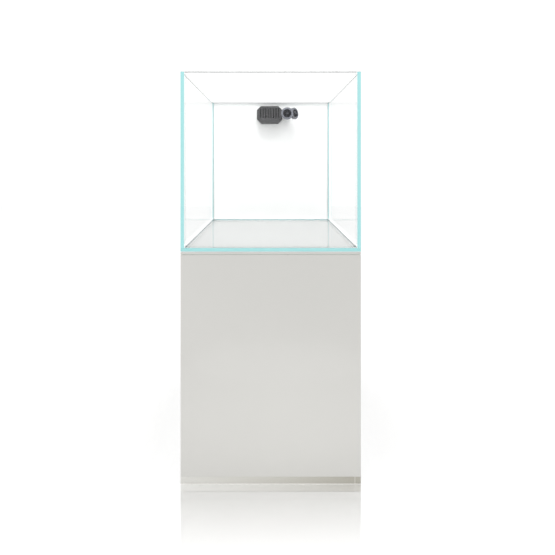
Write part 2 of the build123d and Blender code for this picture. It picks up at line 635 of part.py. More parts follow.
def nozzle_head(name):
    """Round head: a socket round the ball, a flared back and a thick ring at the mouth."""
    ring = Pos(0, 0, HEAD_BACK) * Cylinder(HEAD_RADIUS, HEAD_FRONT - HEAD_BACK, align=UPWARD)
    ring = fillet(ring.edges().group_by(Axis.Z)[-1], HEAD_LIP)
    flare = Pos(0, 0, FLARE_START) * Cone(SOCKET_RADIUS, HEAD_RADIUS, HEAD_BACK - FLARE_START,
                                          align=UPWARD)
    socket = Pos(0, 0, -SOCKET_BACK) * Cylinder(SOCKET_RADIUS, SOCKET_BACK + FLARE_START,
                                                align=UPWARD)
    throat = BALL + SOCKET_GAP
    hollow = Sphere(throat) + Cylinder(NECK + 1, HEAD_FRONT, align=UPWARD)
    hollow += Pos(0, 0, HEAD_BACK) * Cone(NECK + 1, HEAD_BORE, THROAT_LENGTH, align=UPWARD)
    hollow += Pos(0, 0, HEAD_BACK + THROAT_LENGTH) * Cylinder(HEAD_BORE, HEAD_FRONT, align=UPWARD)
    return nozzle_plane(NOZZLES[name]) * (ring + flare + socket - hollow)


def nozzle_vanes(name):
    """Hub and slanted blades that swirl the jet inside the head."""
    z_low, z_high = VANE_SPAN
    middle, depth = (z_low + z_high) / 2, z_high - z_low
    vanes = Pos(0, 0, z_low) * Cylinder(5.0, depth + 2, align=UPWARD)
    blade_length = HEAD_BORE - 0.2
    blade = Pos(blade_length / 2, 0, 0) * Rot(35, 0, 0) * Box(blade_length, 1.8, depth)
    room = Pos(0, 0, z_low - 1) * Cylinder(HEAD_BORE - 0.1, depth + 4, align=UPWARD)
    for turn in range(VANES):
        vanes += (Pos(0, 0, middle) * Rot(0, 0, turn * 360 / VANES) * blade) & room
    return nozzle_plane(NOZZLES[name]) * vanes


# ---------------------------------------------------------------- sump in the cabinet
SUMP_GLASS = 6.0
SUMP_X, SUMP_Y = (-250.0, 250.0), (-110.0, 270.0)
SUMP_Z = (BASE_BOARD, BASE_BOARD + 360.0)
SUMP_FLOOR = SUMP_Z[0] + SUMP_GLASS
ROOM_X, ROOM_Y = shrink(SUMP_X, SUMP_GLASS), shrink(SUMP_Y, SUMP_GLASS)
SOCK_WALL_X = -85.0        # left face of the wall beside the sock chamber
INLET_WALL_Y = 100.0       # front face of the wall of the inlet chamber
BUBBLE_WALL_X, PUMP_WALL_X = -55.0, 14.0
PLATE_Z = (350.0, 356.0)   # sock holder plate


def sump_panes():
    wall_z = (SUMP_FLOOR, SUMP_Z[1])
    return [block(SUMP_X, SUMP_Y, (SUMP_Z[0], SUMP_FLOOR)),
            block(SUMP_X, (SUMP_Y[0], ROOM_Y[0]), wall_z),
            block(SUMP_X, (ROOM_Y[1], SUMP_Y[1]), wall_z),
            block((SUMP_X[0], ROOM_X[0]), ROOM_Y, wall_z),
            block((ROOM_X[1], SUMP_X[1]), ROOM_Y, wall_z)]


def wall_across(x, z):
    """Upright wall from the front pane to the back pane of the sump."""
    return block((x, x + SUMP_GLASS), ROOM_Y, z)


def sump_baffles():
    """Walls between the chambers, and the two ledges that carry the sock holder plate."""
    sock_room_x = (ROOM_X[0], SOCK_WALL_X)
    ledge_z = (PLATE_Z[0] - 8, PLATE_Z[0])
    return [wall_across(SOCK_WALL_X, (SUMP_FLOOR + 30, PLATE_Z[0])),
            wall_across(BUBBLE_WALL_X, (SUMP_FLOOR, 300.0)),
            wall_across(PUMP_WALL_X, (SUMP_FLOOR, 270.0)),
            block(sock_room_x, (INLET_WALL_Y, INLET_WALL_Y + SUMP_GLASS), (SUMP_FLOOR, 340.0)),
            block(sock_room_x, (ROOM_Y[0], ROOM_Y[0] + 8), ledge_z),
            block(sock_room_x, (INLET_WALL_Y - 8, INLET_WALL_Y), ledge_z)]


SOCK_CENTRE = (-165.0, 0.0)
SOCK_HOLE, SOCK_NECK, SOCK_FLANGE = 52.0, 51.3, 57.5
SOCK_THROAT = 47.0
SOCK_FLANGE_Z = (PLATE_Z[1] + 0.3, PLATE_Z[1] + 5.0)
SOCK_NECK_BOTTOM = 338.0
BAG_RADIUS, BAG_WALL, BAG_BOTTOM = 46.9, 2.5, 82.0
BAG_ROUND = 18.0


def sock_holder_plate():
    plate = block(shrink((ROOM_X[0], SOCK_WALL_X), 0.5), (ROOM_Y[0] + 0.5, INLET_WALL_Y - 0.5), PLATE_Z)
    return plate - rod((*SOCK_CENTRE, PLATE_Z[0]), (*SOCK_CENTRE, PLATE_Z[1]), SOCK_HOLE)


def filter_sock_ring():
    """Collar that drops into the plate's hole, and its flange."""
    ring = rod((*SOCK_CENTRE, SOCK_NECK_BOTTOM), (*SOCK_CENTRE, SOCK_FLANGE_Z[0]), SOCK_NECK)
    ring += rod((*SOCK_CENTRE, SOCK_FLANGE_Z[0]), (*SOCK_CENTRE, SOCK_FLANGE_Z[1]), SOCK_FLANGE)
    return ring - rod((*SOCK_CENTRE, SOCK_NECK_BOTTOM), (*SOCK_CENTRE, SOCK_FLANGE_Z[1]), SOCK_THROAT)


def filter_sock_bag():
    """Felt tube with a rounded closed bottom."""
    rim = SOCK_FLANGE_Z[0]
    bag = rod((*SOCK_CENTRE, BAG_BOTTOM), (*SOCK_CENTRE, rim), BAG_RADIUS)
    bag = fillet(bag.edges().group_by(Axis.Z)[0], BAG_ROUND)
    room = rod((*SOCK_CENTRE, BAG_BOTTOM + BAG_WALL), (*SOCK_CENTRE, rim), BAG_RADIUS - BAG_WALL)
    return bag - fillet(room.edges().group_by(Axis.Z)[0], BAG_ROUND - BAG_WALL)


# ---------------------------------------------------------------- return pump
VOLUTE_X = (RETURN_X - 17, RETURN_X + 17)
VOLUTE_RADIUS, VOLUTE_ROOM = 42.0, 33.0
VOLUTE_WALL = 5.0
INTAKE = 15.0
MOTOR_END, MOTOR_RADIUS = 190.0, 38.0
FIN_COUNT, FIN_PITCH, FIN_WIDTH = 7, 12.0, 4.0
SHAFT, SHAFT_END = 3.0, VOLUTE_X[1] + 20
IMPELLER_RADIUS, IMPELLER_HUB, BLADES = 29.0, 9.0, 6
STRAINER_X = (38.0, VOLUTE_X[0])
STRAINER_RADIUS, STRAINER_WALL = 24.0, 2.5


def on_pump_axis(x):
    return (x, DROP_Y, PUMP_Z)


def pump_volute():
    """Round casing with an intake on its left face and the outlet on top."""
    body = rod(on_pump_axis(VOLUTE_X[0]), on_pump_axis(VOLUTE_X[1]), VOLUTE_RADIUS)
    outlet_base, outlet_top = on_pump_axis(RETURN_X), (RETURN_X, DROP_Y, OUTLET_TOP)
    body += rod(outlet_base, outlet_top, RETURN_PIPE.fitting)
    body -= rod(on_pump_axis(VOLUTE_X[0] + VOLUTE_WALL), on_pump_axis(VOLUTE_X[1]), VOLUTE_ROOM)
    body -= rod(on_pump_axis(VOLUTE_X[0]), on_pump_axis(RETURN_X), INTAKE)
    body -= rod(outlet_base, outlet_top, RETURN_PIPE.bore)
    socket_floor = (RETURN_X, DROP_Y, OUTLET_TOP - SOCKET_DEPTH)
    return body - rod(socket_floor, outlet_top, RETURN_PIPE.outer + SOCKET_PLAY)


def pump_motor_housing():
    """Sealed motor with cooling grooves, a shaft hole and a foot on the sump floor."""
    body = rod(on_pump_axis(VOLUTE_X[1]), on_pump_axis(MOTOR_END), MOTOR_RADIUS)
    first = VOLUTE_X[1] + 12
    for fin in range(FIN_COUNT):
        start = first + fin * FIN_PITCH
        body -= tube(on_pump_axis(start), on_pump_axis(start + FIN_WIDTH),
                     MOTOR_RADIUS + 1, MOTOR_RADIUS - 3)
    body += block((VOLUTE_X[1] + 10, MOTOR_END - 10), (DROP_Y - 28, DROP_Y + 28),
                  (SUMP_FLOOR, PUMP_Z - MOTOR_RADIUS + 8))
    return body - rod(on_pump_axis(VOLUTE_X[1]), on_pump_axis(SHAFT_END + 1), SHAFT + RUNNING_PLAY)


def pump_impeller():
    """Hub and blades on a short shaft."""
    low, high = VOLUTE_X[0] + VOLUTE_WALL + 3, VOLUTE_X[1] - 3
    wheel = rod(on_pump_axis(low), on_pump_axis(high), IMPELLER_HUB)
    wheel += rod(on_pump_axis(high - 3), on_pump_axis(high), IMPELLER_RADIUS)
    for blade in range(BLADES):
        arm = Pos(0, 0, IMPELLER_RADIUS / 2) * Box(high - low, 3, IMPELLER_RADIUS)
        turned = Pos(*on_pump_axis((low + high) / 2)) * Rot(blade * 360 / BLADES, 0, 0) * arm
        wheel += turned & rod(on_pump_axis(low), on_pump_axis(high), IMPELLER_RADIUS)
    return wheel + rod(on_pump_axis(high), on_pump_axis(SHAFT_END), SHAFT)


def pump_strainer():
    """Slotted cap over the intake."""
    cap = rod(on_pump_axis(STRAINER_X[0]), on_pump_axis(STRAINER_X[1]), STRAINER_RADIUS)
    cap -= rod(on_pump_axis(STRAINER_X[0] + STRAINER_WALL), on_pump_axis(STRAINER_X[1]),
               STRAINER_RADIUS - STRAINER_WALL)
    slot = Box(STRAINER_X[1] - STRAINER_X[0] - 10, 3, 2 * STRAINER_RADIUS + 2)
    for turn in range(6):
        middle = on_pump_axis(sum(STRAINER_X) / 2)
        cap -= Pos(*middle) * Rot(turn * 30, 0, 0) * slot
    return cap


# ---------------------------------------------------------------- every node, and its file
def all_nodes():
    cams, rear_screws, plate_screws = cam_fittings(), back_panel_screws(), pivot_screws()
    left, right, base, back, top = cabinet_boards(cams + rear_screws + plate_screws)
    upper_plate, lower_plate = pivot_plates()
    bottom_pane, front_pane, back_pane, left_pane, right_pane = tank_panes()
    nodes = {
        "cabinet_side_left": left,
        "cabinet_side_right": right,
        "cabinet_base_panel": base,
        "cabinet_back_panel": back,
        "cabinet_top_panel": top,
        "cam_fittings": cams,
        "back_panel_screws": rear_screws,
        "pivot_plate_top": cut(upper_plate, plate_screws),
        "pivot_plate_bottom": cut(lower_plate, plate_screws),
        "pivot_screws": plate_screws,
        "door_panel": door_panel(),
        "door_pivot_bushes": door_pivot_bushes(),
        "door_bumpers": door_bumpers(),
        "latch_strike_plate": latch_strike_plate(),
        "latch_body": latch_body(),
        "latch_plunger": latch_plunger(),
        "levelling_mat": levelling_mat(),
        "tank_bottom_pane": bottom_pane,
        "tank_front_pane": front_pane,
        "tank_back_pane": back_pane,
        "tank_left_pane": left_pane,
        "tank_right_pane": right_pane,
        "tank_silicone_seams": tank_silicone_seams(),
        "background_film": background_film(),
        "weir_backplate": weir_backplate(),
        "weir_cover": weir_cover(),
        "overflow_box": overflow_box(),
        "overflow_lid": overflow_lid(),
        "tank_bulkheads": tank_bulkheads(),
        "drain_bulkheads": [drain_bulkhead(x) for x in (PRIMARY_X, EMERGENCY_X)],
        "bulkhead_gaskets": bulkhead_gaskets(),
        "bulkhead_nuts": bulkhead_nuts(),
        "primary_standpipe": standpipe(PRIMARY_X, PRIMARY_RIM),
        "emergency_standpipe": standpipe(EMERGENCY_X, EMERGENCY_RIM),
        "primary_drain_pipes": primary_drain_pipes(),
        "primary_drain_elbows": drain_elbows(PRIMARY_X),
        "emergency_drain_pipes": emergency_drain_pipes(),
        "emergency_drain_elbows": drain_elbows(EMERGENCY_X),
        "drain_valve_body": drain_valve_body(),
        "drain_valve_ball": drain_valve_ball(),
        "drain_valve_handle": drain_valve_handle(),
        "pipe_unions": pipe_unions(),
        "return_pipes": return_pipes(),
        "return_elbows": return_elbows(),
        "return_manifold": return_manifold(),
        "sump_panes": sump_panes(),
        "sump_baffles": sump_baffles(),
        "sock_holder_plate": sock_holder_plate(),
        "filter_sock_ring": filter_sock_ring(),
        "filter_sock_bag": filter_sock_bag(),
        "pump_motor_housing": pump_motor_housing(),
        "pump_volute": pump_volute(),
        "pump_impeller": pump_impeller(),
        "pump_strainer": pump_strainer(),
    }
    for name in NOZZLES:
        nodes[f"nozzle_ball_stem_{name}"] = nozzle_ball_stem(name)
        nodes[f"nozzle_head_{name}"] = nozzle_head(name)
        nodes[f"nozzle_vanes_{name}"] = nozzle_vanes(name)
    return nodes


def save(node, shapes):
    shapes = shapes if isinstance(shapes, list) else [shapes]
    solids = [solid for shape in shapes for solid in shape.solids()]
    export_step(solids[0] if len(solids) == 1 else Compound(solids), f"parts/{node}.step")


os.makedirs("parts", exist_ok=True)
for node_name, node_shapes in all_nodes().items():
    save(node_name, node_shapes)
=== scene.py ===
import json
import math

import bmesh
import bpy
from mathutils import Matrix, Vector


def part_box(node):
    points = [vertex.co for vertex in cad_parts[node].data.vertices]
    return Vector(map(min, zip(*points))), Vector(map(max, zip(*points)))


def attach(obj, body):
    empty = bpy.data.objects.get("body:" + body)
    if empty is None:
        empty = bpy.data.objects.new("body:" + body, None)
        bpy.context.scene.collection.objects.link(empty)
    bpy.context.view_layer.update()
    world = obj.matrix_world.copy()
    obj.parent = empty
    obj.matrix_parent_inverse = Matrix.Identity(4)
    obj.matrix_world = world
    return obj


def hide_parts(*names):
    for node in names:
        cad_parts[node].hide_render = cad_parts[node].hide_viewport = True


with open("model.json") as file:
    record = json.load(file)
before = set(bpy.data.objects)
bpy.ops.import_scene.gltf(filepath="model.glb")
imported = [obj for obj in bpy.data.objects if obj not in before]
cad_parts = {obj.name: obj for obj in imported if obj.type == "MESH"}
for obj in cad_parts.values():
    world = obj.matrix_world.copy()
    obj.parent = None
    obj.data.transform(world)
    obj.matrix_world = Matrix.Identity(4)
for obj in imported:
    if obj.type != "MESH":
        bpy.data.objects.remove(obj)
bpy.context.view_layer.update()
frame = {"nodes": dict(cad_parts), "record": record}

NODES = frame["nodes"]
JOINTS = {joint["name"]: joint for joint in frame["record"]["behaviour"]["joints"]}
STAND = "stand_and_tank"
MM = 0.001
X, Y, Z = Vector((1, 0, 0)), Vector((0, 1, 0)), Vector((0, 0, 1))


def srgb(red, green, blue):
    """Linear colour of an sRGB one given from 0 to 255."""
    shares = [value / 255 for value in (red, green, blue)]
    linear = [s / 12.92 if s <= 0.04045 else ((s + 0.055) / 1.055) ** 2.4 for s in shares]
    return (*linear, 1.0)


# ---------------------------------------------------------------- view, light and floor
EYE_DISTANCE = 1.141       # from the door's plane, which is also the tank's front
EYE_HEIGHT = 1.0685        # level with the middle of the tank
LENS, SENSOR = 22.26, 36.0
SHIFT = (0.0122, -0.2063)
WORLD_LIGHT = 1.06
FLOOR_SIZE = 14.0
# The floor's polish falls evenly from the stand to MIRROR_REACH metres away, and is capped near it.
MIRROR_AT_FOOT, MIRROR_MOST, MIRROR_REACH = 0.85, 0.7, 0.28
# Each light's name, place, target, width and height, and power.
LIGHTS = (
    ("softbox_above", (0.0, -0.3, 2.4), (0.0, 0.25, 1.2), (0.9, 0.9), 13.5),
    ("low_fill", (-1.2, -1.7, 0.25), (0.0, -0.3, 0.2), (0.9, 0.9), 1.8),
    ("foot_strip", (0.05, -0.72, 0.15), (0.05, -0.3, 0.0), (0.85, 0.28), 0.27),
)


def make_camera():
    camera = bpy.data.objects.new("camera", bpy.data.cameras.new("camera"))
    camera.data.lens, camera.data.sensor_width = LENS, SENSOR
    camera.data.shift_x, camera.data.shift_y = SHIFT
    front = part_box("tank_front_pane")[0][1]
    camera.location = (0, front - EYE_DISTANCE, EYE_HEIGHT)
    camera.rotation_euler = (math.pi / 2, 0, 0)
    bpy.context.collection.objects.link(camera)
    bpy.context.scene.camera = camera


def make_world():
    world = bpy.data.worlds.new("studio")
    world.use_nodes = True
    background = world.node_tree.nodes["Background"]
    background.inputs["Color"].default_value = (1, 1, 1, 1)
    background.inputs["Strength"].default_value = WORLD_LIGHT
    bpy.context.scene.world = world
    bpy.context.scene.view_settings.view_transform = "Standard"


def area_light(name, place, target, size, power):
    lamp = bpy.data.lights.new(name, "AREA")
    lamp.shape, lamp.energy = "ELLIPSE", power
    lamp.size, lamp.size_y = size
    holder = bpy.data.objects.new(name, lamp)
    holder.location = place
    holder.rotation_euler = (Vector(target) - Vector(place)).to_track_quat("-Z", "Y").to_euler()
    bpy.context.collection.objects.link(holder)


# ---------------------------------------------------------------- node helpers
def node(tree, kind, inputs=None, **settings):
    """New shader node; an input is a value or the output socket that feeds it."""
    made = tree.nodes.new(kind)
    for name, value in settings.items():
        setattr(made, name, value)
    for name, value in (inputs or {}).items():
        if isinstance(value, bpy.types.NodeSocket):
            tree.links.new(value, made.inputs[name])
        else:
            made.inputs[name].default_value = value
    return made


def math_node(tree, operation, first, second=0.0):
    return node(tree, "ShaderNodeMath", {0: first, 1: second}, operation=operation).outputs[0]


def empty_material(name):
    material = bpy.data.materials.new(name)
    material.use_nodes = True
    material.node_tree.nodes.clear()
    return material, material.node_tree


def finish_material(tree, shader):
    node(tree, "ShaderNodeOutputMaterial", {"Surface": shader})


def object_coordinates(tree):
    return node(tree, "ShaderNodeTexCoord").outputs["Object"]


def noise(tree, scale, detail=2.0, stretch=None):
    """Noise in the object's own space, in cycles per metre, stretched along an axis if asked."""
    place = object_coordinates(tree)
    if stretch:
        place = node(tree, "ShaderNodeMapping", {"Vector": place, "Scale": stretch}).outputs[0]
    return node(tree, "ShaderNodeTexNoise", {"Vector": place, "Scale": scale, "Detail": detail}).outputs[0]


def span(tree, value, low, high, start=0.35, end=0.65):
    """Value spread evenly between low and high as it goes from start to end."""
    return node(tree, "ShaderNodeMapRange", {
        "Value": value, "From Min": start, "From Max": end, "To Min": low, "To Max": high}).outputs[0]


def tint(tree, value, colour, change):
    """Colour that wanders a little darker and lighter with the value."""
    darker = tuple(max(0.0, c * (1 - change)) for c in colour[:3]) + (1.0,)
    lighter = tuple(min(1.0, c * (1 + change)) for c in colour[:3]) + (1.0,)
    return node(tree, "ShaderNodeMix", {"Factor": span(tree, value, 0.0, 1.0), 6: darker, 7: lighter},
                data_type="RGBA").outputs[2]


def bump(tree, height, strength, depth):
    return node(tree, "ShaderNodeBump", {
        "Height": height, "Strength": strength, "Distance": depth}).outputs[0]


def surface(name, colour, roughness, *, spread=0.06, change=0.04, patch=9.0, grain=900.0,
            relief=0.25, depth=0.0001, stretch=None, **shader):
    """Principled material with a slow colour drift, uneven roughness and a fine relief."""
    material, tree = empty_material(name)
    drift = noise(tree, patch, 3.0)
    fine = noise(tree, grain, 4.0, stretch)
    inputs = {"Base Color": tint(tree, drift, colour, change),
              "Roughness": span(tree, fine, roughness - spread, roughness + spread),
              "Normal": bump(tree, fine, relief, depth)}
    inputs.update({key.replace("_", " "): value for key, value in shader.items()})
    principled = node(tree, "ShaderNodeBsdfPrincipled", inputs)
    finish_material(tree, principled.outputs[0])
    return material


# ---------------------------------------------------------------- glass
GLASS = 12 * MM
GLASS_EDGE = srgb(147, 213, 214)
GROUND_EDGE = srgb(185, 186, 186)
FILM = (0.97, 0.97, 0.97, 1)
# The levelling foam seen through the glass floor, darkened: painted shade.
BEDDING_PAINTED_SHADE = srgb(197, 198, 197)
EDGE_OPACITY = 0.92
IOR = 1.5
FRONT_MIRROR = 0.04         # share of the light that a glass face mirrors straight back


def axis_share(tree, axis):
    """1 where the surface faces along the axis, 0 where it faces across it."""
    normal = node(tree, "ShaderNodeNewGeometry").outputs["True Normal"]
    dot = node(tree, "ShaderNodeVectorMath", {0: normal, 1: axis}, operation="DOT_PRODUCT").outputs["Value"]
    return math_node(tree, "ABSOLUTE", dot)


def facing(tree, axis, least=0.95):
    return math_node(tree, "GREATER_THAN", axis_share(tree, axis), least)


def mirror(tree):
    return node(tree, "ShaderNodeBsdfGlossy", {"Color": (1, 1, 1, 1), "Roughness": 0.02}).outputs[0]


def clear_face(tree, shine, haze):
    """Clear glass face: it lets everything through but a thin mirror image, the same on both sides."""
    slant = node(tree, "ShaderNodeLayerWeight", {"Blend": 0.5}).outputs["Facing"]
    grazing = math_node(tree, "MULTIPLY", math_node(tree, "POWER", slant, 5.0), 1 - FRONT_MIRROR)
    strength = math_node(tree, "MULTIPLY", math_node(tree, "ADD", grazing, FRONT_MIRROR), shine)
    through = node(tree, "ShaderNodeBsdfTransparent", {"Color": haze})
    return node(tree, "ShaderNodeMixShader", {0: strength, 1: through.outputs[0], 2: mirror(tree)})


def glass(name, thin_axis, edge_colour=GLASS_EDGE, shine=0.8, haze=(0.995, 0.997, 0.996, 1)):
    """Plate glass that is thin along one axis: clear faces, tinted polished edges, ground arrises."""
    material, tree = empty_material(name)
    ripple = noise(tree, 60.0, 2.0)
    colour = node(tree, "ShaderNodeBsdfPrincipled", {
        "Base Color": tint(tree, ripple, edge_colour, 0.01), "Roughness": 0.12,
        "Alpha": EDGE_OPACITY})
    turned_back = node(tree, "ShaderNodeFresnel", {"IOR": IOR}).outputs[0]
    edge = node(tree, "ShaderNodeMixShader", {0: turned_back, 1: colour.outputs[0], 2: mirror(tree)})
    arris = node(tree, "ShaderNodeBsdfPrincipled", {
        "Base Color": GROUND_EDGE, "Roughness": span(tree, ripple, 0.4, 0.6), "Alpha": 0.9})
    square = math_node(tree, "MAXIMUM", facing(tree, X), facing(tree, Y))
    square = math_node(tree, "MAXIMUM", square, facing(tree, Z))
    rim = node(tree, "ShaderNodeMixShader", {0: square, 1: arris.outputs[0], 2: edge.outputs[0]})
    face = clear_face(tree, shine, haze)
    mixed = node(tree, "ShaderNodeMixShader", {
        0: facing(tree, thin_axis), 1: rim.outputs[0], 2: face.outputs[0]})
    finish_material(tree, mixed.outputs[0])
    return material


def sump_materials():
    """Thin float glass: clear faces with a slight green cast, and darker green edges."""
    clear, tree = empty_material("sump_glass")
    finish_material(tree, clear_face(tree, 0.6, (0.94, 0.97, 0.96, 1)).outputs[0])
    edge = surface("sump_glass_edge", srgb(96, 150, 138), 0.3, change=0.05, grain=500.0, Alpha=0.85)
    return clear, edge


def bond_material(name, opacity):
    """Clear glue or sealant between panes, with a trace of the colour of the glass edges."""
    material, tree = empty_material(name)
    ripple = noise(tree, 60.0, 2.0)
    shader = node(tree, "ShaderNodeBsdfPrincipled", {
        "Base Color": tint(tree, ripple, GLASS_EDGE, 0.01), "Roughness": 0.3, "Alpha": opacity})
    finish_material(tree, shader.outputs[0])
    return material


def rear_edge_material(name, axis, start, end):
    """Rear edge of a pane against the white film, with the tinted line of its joint."""
    material, tree = empty_material(name)
    place = node(tree, "ShaderNodeSeparateXYZ", {0: object_coordinates(tree)}).outputs[axis]
    place = math_node(tree, "ABSOLUTE", place)
    inside = math_node(tree, "MULTIPLY", math_node(tree, "GREATER_THAN", place, start),
                       math_node(tree, "LESS_THAN", place, end))
    ripple = noise(tree, 60.0, 2.0)
    colour = node(tree, "ShaderNodeMix", {
        "Factor": inside, 6: FILM, 7: tint(tree, ripple, GLASS_EDGE, 0.01)},
        data_type="RGBA").outputs[2]
    shader = node(tree, "ShaderNodeBsdfPrincipled", {"Base Color": colour, "Roughness": 0.5})
    finish_material(tree, shader.outputs[0])
    return material


def painted_bedding_material(inner):
    """Foam seen through the glass floor, darker than the levelling foam as painted shade, with a white rim
    where the walls stand on the glass as painted light under their feet.
    """
    material, tree = empty_material("foam_under_glass_painted")
    place = node(tree, "ShaderNodeSeparateXYZ", {0: object_coordinates(tree)})
    sideways, back = math_node(tree, "ABSOLUTE", place.outputs[0]), place.outputs[1]
    # White rim under the walls' feet: painted light that lifts the shade there.
    rim = math_node(tree, "GREATER_THAN", math_node(tree, "MAXIMUM", sideways, back), inner)
    cells = noise(tree, 1400.0, 4.0)
    colour = node(tree, "ShaderNodeMix", {
        "Factor": rim, 6: tint(tree, cells, BEDDING_PAINTED_SHADE, 0.02), 7: FILM}, data_type="RGBA").outputs[2]
    shader = node(tree, "ShaderNodeBsdfPrincipled", {
        "Base Color": colour, "Roughness": 0.85, "Normal": bump(tree, cells, 0.3, 0.0001)})
    finish_material(tree, shader.outputs[0])
    return material


# ---------------------------------------------------------------- foot, with its painted shade
# Painted shade of the foot under the door: light at the left, deep at the right.
KICK_LEFT_LIT, KICK_RIGHT_SHADED = srgb(205, 204, 199), srgb(164, 161, 150)


def kick_painted_shade_material():
    """Painted shade on the foot under the door: the lacquer deepens from the left to the right, as if lit
    from the left.
    """
    material, tree = empty_material("kick_painted_shade")
    across = node(tree, "ShaderNodeSeparateXYZ", {0: object_coordinates(tree)}).outputs[0]
    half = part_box("cabinet_base_panel")[1][0]
    share = span(tree, across, 0.0, 1.0, -half, half)
    colour = node(tree, "ShaderNodeMix", {"Factor": share, 6: KICK_LEFT_LIT, 7: KICK_RIGHT_SHADED},
                  data_type="RGBA").outputs[2]
    fine = noise(tree, 700.0, 4.0)
    shader = node(tree, "ShaderNodeBsdfPrincipled", {
        "Base Color": colour, "Roughness": span(tree, fine, 0.25, 0.32),
        "Normal": bump(tree, fine, 0.06, 0.00005), "Coat Weight": 0.35})
    finish_material(tree, shader.outputs[0])
    return material


# ---------------------------------------------------------------- floor
def footprint_distance(tree):
    """Distance on the floor from the stand's footprint."""
    place = node(tree, "ShaderNodeNewGeometry").outputs["Position"]
    parts = node(tree, "ShaderNodeSeparateXYZ", {0: place})
    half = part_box("tank_bottom_pane")[1][0]
    outside = []
    for axis in range(2):
        size = math_node(tree, "ABSOLUTE", parts.outputs[axis])
        beyond = math_node(tree, "MAXIMUM", math_node(tree, "SUBTRACT", size, half), 0.0)
        outside.append(math_node(tree, "POWER", beyond, 2.0))
    return math_node(tree, "SQRT", math_node(tree, "ADD", *outside))


def floor_material():
    material, tree = empty_material("studio_floor")
    near = node(tree, "ShaderNodeMapRange", {
        "Value": footprint_distance(tree), "From Min": 0.0, "From Max": MIRROR_REACH,
        "To Min": MIRROR_AT_FOOT, "To Max": 0.0}).outputs[0]
    near = math_node(tree, "MINIMUM", near, MIRROR_MOST)
    matt = node(tree, "ShaderNodeBsdfDiffuse", {"Color": (0.95, 0.95, 0.95, 1)})
    polish = node(tree, "ShaderNodeBsdfGlossy", {"Color": (1, 1, 1, 1), "Roughness": 0.02})
    mixed = node(tree, "ShaderNodeMixShader", {0: near, 1: matt.outputs[0], 2: polish.outputs[0]})
    finish_material(tree, mixed.outputs[0])
    return material


def make_floor():
    mesh = bpy.data.meshes.new("floor")
    half = FLOOR_SIZE / 2
    corners = [(-half, -half, 0), (half, -half, 0), (half, half, 0), (-half, half, 0)]
    mesh.from_pydata(corners, [], [(0, 1, 2, 3)])
    floor = bpy.data.objects.new("floor", mesh)
    floor.data.materials.append(floor_material())
    bpy.context.collection.objects.link(floor)


# ---------------------------------------------------------------- piece helpers
def piece_from(bm, name, body, material, smooth_angle=35.0):
    """Linked object made from a bmesh, with its body and material."""
    mesh = bpy.data.meshes.new(name)
    bm.to_mesh(mesh)
    bm.free()
    made = bpy.data.objects.new(name, mesh)
    mesh.materials.append(material)
    mesh.shade_smooth()
    mesh.set_sharp_from_angle(angle=math.radians(smooth_angle))
    bpy.context.collection.objects.link(made)
    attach(made, body)
    return made


def refined(name, body, material, bevel=0.0, segments=2, least_angle=30.0, smooth_angle=35.0,
            above=-math.inf):
    """Detailed stand-in for a CAD node: its own shape with clean faces and softened edges."""
    bm = bmesh.new()
    bm.from_mesh(NODES[name].data)
    bmesh.ops.remove_doubles(bm, verts=bm.verts, dist=1e-6)
    bmesh.ops.dissolve_limit(bm, angle_limit=math.radians(0.5), verts=bm.verts, edges=bm.edges)
    if bevel:
        hard = [edge for edge in bm.edges
                if len(edge.link_faces) == 2 and min(v.co.z for v in edge.verts) > above
                and edge.calc_face_angle() > math.radians(least_angle)]
        bmesh.ops.bevel(bm, geom=hard, offset=bevel, segments=segments, profile=0.6,
                        affect="EDGES", clamp_overlap=True)
    made = piece_from(bm, name + "_detail", body, material, smooth_angle)
    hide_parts(name)
    return made


def paint(made, material, test):
    """Give the material to the faces that pass the test."""
    made.data.materials.append(material)
    slot = len(made.data.materials) - 1
    for face in made.data.polygons:
        if test(made.data, face):
            face.material_index = slot


def extents(mesh, face):
    """Size of a face along X, Y and Z."""
    points = [mesh.vertices[index].co for index in face.vertices]
    return [max(p[axis] for p in points) - min(p[axis] for p in points) for axis in range(3)]


def dress(material, *names):
    """Give CAD nodes a material in place of the plain one."""
    for name in names:
        NODES[name].data.materials.clear()
        NODES[name].data.materials.append(material)


# ---------------------------------------------------------------- materials
lacquer = surface("lacquer", srgb(196, 195, 191), 0.28, spread=0.03, change=0.006, patch=3.0,
                  grain=700.0, relief=0.06, depth=0.00005, Coat_Weight=0.35, Coat_Roughness=0.08)
foam = surface("levelling_foam", srgb(214, 215, 214), 0.85, change=0.05, grain=1400.0, relief=0.6,
               depth=0.0002)
film = surface("white_film", FILM, 0.5, change=0.004, grain=500.0, relief=0.05)
charcoal = surface("charcoal_plastic", srgb(59, 59, 61), 0.42, change=0.06, grain=1800.0,
                   relief=0.35, depth=0.00008)
acrylic = surface("black_acrylic", (0.012, 0.012, 0.014, 1), 0.12, spread=0.03, change=0.1,
                  grain=250.0, relief=0.04, Coat_Weight=0.3)
nozzle_grey = surface("nozzle_grey", srgb(108, 110, 119), 0.3, change=0.05, grain=1500.0,
                      relief=0.15, Coat_Weight=0.2)
